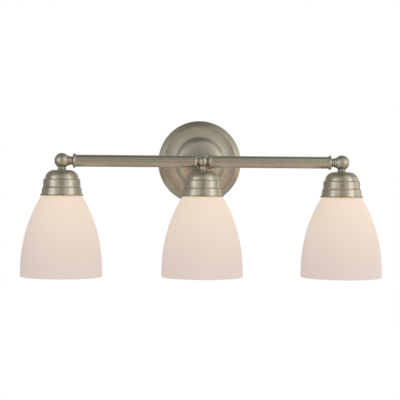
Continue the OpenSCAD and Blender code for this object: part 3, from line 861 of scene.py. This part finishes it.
@dataclass
class Light:
    """One cup with its lampholder, shade ring, shade and lamp."""

    side: str
    cup_wall: float = 1.0 * MM
    cup_hole: float = 5.0 * MM
    flat_r: float = 12.5 * MM
    dome_r: float = 28.0 * MM
    dome_h: float = 14.7 * MM
    upper_r: float = 30.9 * MM
    upper_h: float = 14.4 * MM
    lower_r: float = 32.8 * MM
    lower_h: float = 11.4 * MM
    flare: float = 1.1 * MM
    lip_bead: float = 1.3 * MM
    bead_r: float = 7.3 * MM
    bell_curve: float = 2.35
    bell_steps: int = 40
    glass: float = 3.0 * MM
    neck_r: float = 30.6 * MM
    shoulder_r: float = 34.5 * MM
    shoulder_drop: float = 13.5 * MM
    thread_pitch: float = 2.5 * MM
    lamp_pitch: float = 3.63 * MM

    def __post_init__(self) -> None:
        """Reads the light's place from the frame."""
        self.cup = f"{self.side}_cup"
        self.centre = Vector((middle(self.cup).x, middle(self.cup).y, 0))
        self.place = at(*self.centre)
        self.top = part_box(self.cup)[1].z

    def turned(self, name: str, outline: list[Point], material: bpy.types.Material, slot: Slot,
               body: str, node: str = "", closed: bool = True, steps: int = 144,
               sharp: float = 50.0) -> None:
        """Builds a piece turned round the light's axis.

        Args:
            name: the piece's name without the light's side.
            outline: radius and height of each point.
            material: its material.
            slot: the record's slot.
            body: the CAD body that it rides on.
            node: the CAD node that it replaces, without the light's side.
            closed: whether the outline is a loop.
            steps: faces round the turn.
            sharp: edges that turn by more than this many degrees stay sharp.
        """
        piece = lathe(f"{self.side}_{name}", outline, self.place, closed, steps, sharp)
        put(piece, material, slot, body, *([f"{self.side}_{node}"] if node else []))

    def own(self, finish: Finish) -> bpy.types.Material:
        """A finish that runs round this light's axis."""
        return finish.build(Axis.UP, self.centre)

    def extent(self, node: str) -> tuple[Vector, Vector, float]:
        """The low and high corners of one of this light's nodes, and its radius."""
        return extent(f"{self.side}_{node}")

    def cup_outline(self) -> list[Point]:
        """Outer surface of the cup from its hole to where the lip starts."""
        top = self.top
        foot = top - self.dome_h
        step = foot - self.upper_h
        lip = step - self.lower_h
        dome = arc((self.flat_r, foot + 0.4 * MM),
                   (self.dome_r - self.flat_r, self.dome_h - 0.4 * MM), 90, 0, 20)
        upper = [(self.dome_r + 0.15 * MM, foot - 0.15 * MM),
                 *arc((self.dome_r + 0.5 * MM, foot - 2.3 * MM),
                      (self.upper_r - self.dome_r - 0.5 * MM, 2.3 * MM), 90, 0, 8)]
        ridge = rounded([(self.upper_r, foot - 4 * MM, 0),
                         (self.upper_r + 0.05 * MM, step + 2.3 * MM, 0.3 * MM),
                         (self.upper_r + 0.45 * MM, step + 1.6 * MM, 0.4 * MM),
                         (self.upper_r + 0.2 * MM, step + 0.7 * MM, 0.3 * MM),
                         (self.upper_r + 0.1 * MM, step + 0.1 * MM, 0)])[1:]
        lower = arc((self.upper_r + 0.3 * MM, step - 1.7 * MM),
                    (self.lower_r - self.upper_r - 0.3 * MM, 1.7 * MM), 90, 0, 8)
        return [(self.cup_hole, top), *dome, *upper, *ridge, *lower,
                (self.lower_r + self.flare, lip)]

    def build_cup(self) -> None:
        """The stepped cup with its rolled lip."""
        outline = self.cup_outline()
        lip_r = self.extent("cup")[2]
        lip = outline[-1][1]
        bead = arc((lip_r - self.lip_bead, lip - self.lip_bead), (self.lip_bead, self.lip_bead),
                   90, -160, 18)
        shell = [*outline, *bead, *reversed(beside(outline, -self.cup_wall))]
        self.turned("stepped_cup", shell, self.own(NICKEL), Slot.NICKEL, ROOT, "cup", steps=192)

    def build_neck(self) -> None:
        """The ringed neck between ball and cup."""
        low, high, _ = self.extent("neck_ring")
        groove = 6.0 * MM
        lower = 2.8 * MM
        upper = high.z - low.z - lower
        outline = [(PIPE_BORE, low.z), (groove, low.z)]
        outline += arc((groove, low.z + lower / 2), (self.bead_r - groove, lower / 2), -90, 90, 12)
        outline += arc((groove, low.z + lower + upper / 2), (0.4 * MM, upper / 2), -90, 90, 10)
        outline += [(PIPE_BORE, high.z)]
        self.turned("neck_beads", outline, self.own(NICKEL), Slot.NICKEL, ROOT, "neck_ring",
                    steps=96)

    def bell(self, t: float, rim_r: float) -> float:
        """Outer radius of the shade at the share t of its drop below the cup."""
        return rim_r - (rim_r - self.shoulder_r) * max(0.0, 1 - t) ** self.bell_curve

    def build_shade(self) -> None:
        """The bell-shaped glass with its inturned neck and rounded rim."""
        low, high, rim_r = self.extent("shade")
        shoulder = high.z - self.shoulder_drop
        drop = shoulder - low.z
        first = 1 - ((rim_r - self.neck_r) / (rim_r - self.shoulder_r)) ** (1 / self.bell_curve)
        last = 1 - self.glass / 2 / drop
        hole = 21.0 * MM
        corner = 2.0 * MM
        outer = [(hole, high.z),
                 *arc((self.neck_r - corner, high.z - corner), (corner, corner), 90, 0, 8)]
        for i in range(self.bell_steps + 1):
            t = first + (last - first) * i / self.bell_steps
            outer.append((self.bell(t, rim_r), shoulder - drop * t))
        half = self.glass / 2
        rim = arc((rim_r - half, low.z + half), (half, half), -15, -165, 12)
        shell = [*outer, *rim, *reversed(beside(outer, -self.glass))]
        self.turned("bell_shade", shell, OpalGlass().build(low.z, high.z), Slot.OPAL,
                    f"{self.side}_shade_drop", "shade", steps=192, sharp=60)

    def ridges(self, radius: float, depth: float, top: float, low: float,
               pitch: float) -> list[Point]:
        """Outline of rounded thread ridges from top down to low."""
        count = max(1, int((top - low) / pitch))
        points: list[Point] = []
        for i in range(count * 8 + 1):
            wave = 0.5 + 0.5 * math.cos(math.tau * i / 8)
            points.append((radius - depth * wave, top - (top - low) * i / (count * 8)))
        return points

    def build_holder(self) -> None:
        """The porcelain lampholder with its threaded skirt, shell and contact."""
        low, high, r = self.extent("socket_body")
        skirt_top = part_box(f"{self.side}_shade")[1].z
        skirt_r = 19.85 * MM
        shell_low, shell_high, shell_r = self.extent("socket_shell")
        top, floor = high.z, high.z - 6.9 * MM
        outline = rounded([(PIPE_BORE, floor, 0), (PIPE_BORE, top, 0.3 * MM),
                           (9 * MM, top, 0.6 * MM), (9 * MM, top - 2.4 * MM, 0.5 * MM),
                           (14 * MM, top - 2.4 * MM, 1.2 * MM),
                           (r - 1 * MM, top - 5 * MM, 0.8 * MM), (r, top - 6 * MM, 0.6 * MM),
                           (r, skirt_top, 0.4 * MM), (skirt_r - 0.5 * MM, skirt_top, 0)])
        outline += self.ridges(skirt_r, 0.7 * MM, skirt_top - 0.3 * MM, low.z + 0.7 * MM,
                               self.thread_pitch)
        outline += rounded([(skirt_r - 0.7 * MM, low.z + 0.4 * MM, 0),
                            (skirt_r - 1.0 * MM, low.z, 0.3 * MM),
                            (shell_r + 0.1 * MM, low.z, 0.3 * MM),
                            (shell_r + 0.1 * MM, shell_high.z, 0)])
        outline = [(0.0, floor), *outline, (0.0, shell_high.z)]
        self.turned("lampholder", outline, self.own(PORCELAIN), Slot.PORCELAIN, ROOT,
                    "socket_body", closed=False, steps=128, sharp=40)
        thick = 0.35 * MM
        inner = self.ridges(shell_r - 0.05 * MM, 0.5 * MM, shell_high.z - 2 * MM,
                            shell_low.z + 0.6 * MM, self.lamp_pitch)
        shell = [(6 * MM, shell_high.z), (shell_r - 0.5 * MM, shell_high.z), *inner,
                 (shell_r, shell_low.z), (shell_r - thick, shell_low.z),
                 *[(x - thick, z) for x, z in reversed(inner)],
                 (shell_r - 0.9 * MM, shell_high.z - 0.5 * MM), (6 * MM, shell_high.z - 0.5 * MM)]
        self.turned("screw_shell", shell, self.own(BRASS), Slot.BRASS, ROOT, "socket_shell",
                    steps=96)
        dress(f"{self.side}_socket_contact", BRASS.build())
        dress(f"{self.side}_nipple", ZINC.build())
        dress(f"{self.side}_nipple_nut", ZINC.build())

    def build_ring(self) -> None:
        """The shade ring with its ribbed grip and inner thread."""
        low, high, flange = self.extent("shade_ring")
        bore = 20.3 * MM
        body = 22.3 * MM
        inner = self.ridges(bore + 0.6 * MM, 0.6 * MM, high.z - 1 * MM, low.z + 1 * MM,
                            self.thread_pitch)
        outline = rounded([(bore, high.z, 0), (flange, high.z, 0.5 * MM),
                           (flange, high.z - 2 * MM, 0.5 * MM), (body, high.z - 2 * MM, 0.5 * MM),
                           (body, low.z, 0.5 * MM), (bore, low.z, 0)])
        bm = bmesh.new()
        spun(bm, [*outline, *reversed(inner)], True, Matrix.Identity(4), 180)
        for vert in bm.verts:
            across = math.hypot(vert.co.x, vert.co.y)
            if across > body - 0.2 * MM and vert.co.z < high.z - 2.4 * MM:
                turn = math.atan2(vert.co.y, vert.co.x)
                rib = 0.35 * MM * max(0.0, math.cos(turn * 45)) - 0.1 * MM
                vert.co.xy *= 1 + rib / across
        bmesh.ops.transform(bm, matrix=self.place, verts=bm.verts)
        piece = finish_mesh(f"{self.side}_ribbed_ring", bm)
        put(piece, self.own(NICKEL), Slot.NICKEL, f"{self.side}_ring", f"{self.side}_shade_ring")

    def build_lamp(self) -> None:
        """The frosted lamp with its rolled screw base, insulator and tip."""
        low, high, r = self.extent("bulb_glass")
        base_low, base_high, base_r = self.extent("bulb_base")
        rides_on = f"{self.side}_lamp"
        neck = base_r - 1.1 * MM
        belly = low.z + r
        start = base_low.z - 1.0 * MM
        shoulder = neck + 2.0 * MM
        side = [(neck, high.z), (neck, base_low.z), (neck + 1.3 * MM, base_low.z - 0.1 * MM)]
        for i in range(29):
            u = i / 28
            swell = (1 - math.cos(math.pi * u)) / 2
            side.append((shoulder + (r - shoulder) * swell, start - (start - belly) * u))
        side += arc((0, belly), (r, r), -3, -90, 28)
        side[-1] = (0.0, low.z)
        self.turned("lamp_glass", side, LampGlass().build(), Slot.LAMP_GLASS, rides_on,
                    "bulb_glass", closed=False, steps=96, sharp=60)
        tip = base_high.z
        shell_top = tip - 3.0 * MM
        foot = base_low.z
        screw = self.ridges(base_r, 0.6 * MM, shell_top - 0.8 * MM, foot + 4.0 * MM,
                            self.lamp_pitch)
        outline = [(9.6 * MM, shell_top + 0.4 * MM), (base_r - 1.6 * MM, shell_top + 0.1 * MM),
                   *screw, (base_r - 0.3 * MM, foot + 3.0 * MM), (base_r, foot + 2.4 * MM),
                   (base_r, foot + 0.3 * MM), (base_r - 0.3 * MM, foot), (neck, foot),
                   (neck, shell_top - 1 * MM), (9.6 * MM, shell_top - 1 * MM)]
        self.turned("lamp_screw", outline, self.own(LAMP_BASE), Slot.LAMP_BASE, rides_on,
                    "bulb_base", steps=96)
        cone = [(0.0, tip - 0.9 * MM), (4.0 * MM, tip - 0.9 * MM),
                (9.8 * MM, shell_top + 0.5 * MM), (9.8 * MM, shell_top - 1.2 * MM),
                (0.0, shell_top - 1.2 * MM)]
        self.turned("lamp_insulator", cone, BLACK_GLASS.build(), Slot.LAMP_BASE, rides_on,
                    closed=False, steps=64, sharp=30)
        button = [(0.0, tip), *arc((2.2 * MM, tip - 0.5 * MM), (1.0 * MM, 0.5 * MM), 90, 0, 6),
                  (3.2 * MM, tip - 1.1 * MM), (0.0, tip - 1.1 * MM)]
        self.turned("lamp_tip", button, LAMP_BASE.build(), Slot.LAMP_BASE, rides_on,
                    closed=False, steps=48)

    def build(self) -> None:
        """Builds the whole light."""
        self.build_neck()
        self.build_cup()
        self.build_holder()
        self.build_ring()
        self.build_shade()
        self.build_lamp()


def dress_leads() -> None:
    """Dresses the insulated leads that end behind the backplate."""
    dress("live_leads", BLACK_WIRE.build())
    dress("neutral_leads", WHITE_WIRE.build())


# --- studio -----------------------------------------------------------------------------


@dataclass
class Studio:
    """Camera, softboxes, warm bounce and pale floor."""

    eye: Vector = Vector((-0.131, -2.283, -0.028))
    turn: Point = (math.radians(-0.45), math.radians(-3.4))
    lens: float = 117.0
    shift: Point = (-0.0050, -0.0542)
    floor_z: float = -0.62
    strip_turn: float = math.radians(-1)
    aim_z: float = -0.06
    stops: tuple[tuple[float, Colour], ...] = (
        (0.0, (0.30, 0.22, 0.15)), (0.38, (0.40, 0.335, 0.26)), (0.5, (0.56, 0.55, 0.50)),
        (0.60, (0.68, 0.675, 0.615)), (0.77, (0.52, 0.52, 0.46)), (1.0, (0.14, 0.145, 0.12)))
    softboxes: tuple[tuple[str, Corner, Point, float, Colour], ...] = (
        ("softbox_left", (-1.91, -1.19, 0.1), (1.15, 1.5), 0.74, (0.96, 0.945, 1.0)),
        ("softbox_right", (1.84, -1.30, 0.2), (1.15, 1.7), 0.80, (1.0, 0.935, 0.945)),
        ("warm_side", (2.0, 0.4, 0.0), (1.3, 1.4), 0.5, (1.0, 0.84, 0.60)),
        ("top_fill", (1.1, -0.9, 1.6), (1.6, 1.2), 0.38, (1.0, 0.99, 0.95)),
        ("floor_bounce", (0, -0.35, -0.58), (1.6, 0.6), 0.15, (1.0, 0.66, 0.44)),
        ("warm_left", (-0.54, -1.36, -0.38), (0.5, 0.3), 1.1, (1.0, 0.58, 0.33)),
        ("warm_right", (0.50, -1.38, -0.38), (0.5, 0.3), 1.1, (1.0, 0.58, 0.33)))

    def area(self, name: str, place: Corner, size: Point, level: float, colour: Colour) -> None:
        """A rectangular softbox that faces the object and that the camera doesn't see.

        Args:
            name: the light's name.
            place: its centre.
            size: its width and height.
            level: how bright its face is.
            colour: its colour.
        """
        lamp = bpy.data.lights.new(name, "AREA")
        lamp.shape = "RECTANGLE"
        lamp.size, lamp.size_y = size
        lamp.energy = level * math.pi * size[0] * size[1]
        lamp.color = colour
        box = bpy.data.objects.new(name, lamp)
        box.location = place
        aim = Vector((0, BAR_Y, self.aim_z))
        box.rotation_euler = (aim - Vector(place)).to_track_quat("-Z", "Y").to_euler()
        box.visible_camera = False
        bpy.context.scene.collection.objects.link(box)

    def build_world(self) -> None:
        """White behind the object, and a dimmer room in its reflections."""
        world = bpy.data.worlds.new("studio")
        bpy.context.scene.world = world
        world.use_nodes = True
        tree = world.node_tree
        tree.nodes.clear()
        out = add_node(tree, "ShaderNodeOutputWorld")
        mix = add_node(tree, "ShaderNodeMixShader")
        plain = add_node(tree, "ShaderNodeBackground")
        room = add_node(tree, "ShaderNodeBackground")
        feed(tree, plain, Color=(1, 1, 1, 1), Strength=1.0)
        place = add_node(tree, "ShaderNodeTexCoord").outputs["Generated"]
        x, y, z = split_up(tree, place)
        ramp = add_node(tree, "ShaderNodeValToRGB")
        height = add_node(tree, "ShaderNodeMapRange")
        feed(tree, height, Value=z, From_Min=-1.0)
        feed(tree, ramp, Fac=height.outputs["Result"])
        while len(ramp.color_ramp.elements) < len(self.stops):
            ramp.color_ramp.elements.new(0.5)
        for element, (where, colour) in zip(ramp.color_ramp.elements, self.stops):
            element.position = where
            element.color = (*colour, 1.0)
        aside = maths(tree, "ARCTAN2", x, times(tree, y, -1.0))
        off = maths(tree, "ABSOLUTE", maths(tree, "SUBTRACT", aside, self.strip_turn))
        steep = maths(tree, "ABSOLUTE", z)

        def turn(value: object, first: float, last: float, levels: Point) -> object:
            """A soft step between two directions in degrees."""
            return smooth(tree, value, (math.radians(first), math.radians(last)), levels)

        strip = times(tree, turn(off, 4, 25, (1.0, 0.0)),
                      smooth(tree, steep, (0.05, 0.22), (1.0, 0.1)))
        walls = times(tree, turn(off, 14, 40, (1.0, 1.3)),
                      times(tree, turn(aside, -90, -55, (0.42, 1.0)),
                            turn(aside, 62, 95, (1.0, 0.72))))
        level = times(tree, walls, maths(tree, "MULTIPLY_ADD", strip, -0.97, 1.0))
        high = smooth(tree, steep, (0.5, 0.95))
        faded = maths(tree, "MULTIPLY_ADD", maths(tree, "SUBTRACT", 1.0, level), high, level)
        feed(tree, room, Color=ramp.outputs["Color"], Strength=faded)
        path = add_node(tree, "ShaderNodeLightPath")
        for socket, value in zip(mix.inputs, (path.outputs["Is Camera Ray"], room.outputs[0],
                                              plain.outputs[0])):
            tree.links.new(value, socket)
        tree.links.new(mix.outputs[0], out.inputs["Surface"])

    def build_floor(self) -> None:
        """A plain pale floor below the object."""
        bm = bmesh.new()
        bmesh.ops.create_grid(bm, x_segments=8, y_segments=8, size=1.1)
        bmesh.ops.transform(bm, matrix=at(0, -0.25, self.floor_z), verts=bm.verts)
        floor = finish_mesh("floor", bm)
        material, tree, shader = new_material("pale_floor")
        path = add_node(tree, "ShaderNodeLightPath")
        feed(tree, shader, Base_Color=(0.9, 0.88, 0.86, 1), Roughness=0.7,
             Emission_Color=(1.0, 0.99, 1.0, 1),
             Emission_Strength=times(tree, path.outputs["Is Camera Ray"], 0.6))
        floor.data.materials.append(material)

    def build_camera(self) -> None:
        """The camera, level with the foot of the cups' necks."""
        data = bpy.data.cameras.new("camera")
        data.lens = self.lens
        data.shift_x, data.shift_y = self.shift
        camera = bpy.data.objects.new("camera", data)
        camera.location = self.eye
        camera.rotation_euler = (math.radians(90), *self.turn)
        bpy.context.scene.collection.objects.link(camera)
        bpy.context.scene.camera = camera

    def build(self) -> None:
        """Sets up the studio."""
        bpy.context.scene.view_settings.view_transform = "Standard"
        self.build_camera()
        self.build_world()
        self.build_floor()
        for softbox in self.softboxes:
            self.area(*softbox)


def main() -> None:
    """Builds the object and the studio round it."""
    logging.basicConfig(level=logging.INFO, format="%(name)s: %(message)s")
    Studio().build()
    Backplate().build()
    PlateFasteners().build()
    Bar().build()
    for side in LIGHTS:
        Light(side).build()
    dress_leads()


if __name__ == "__main__":
    main()
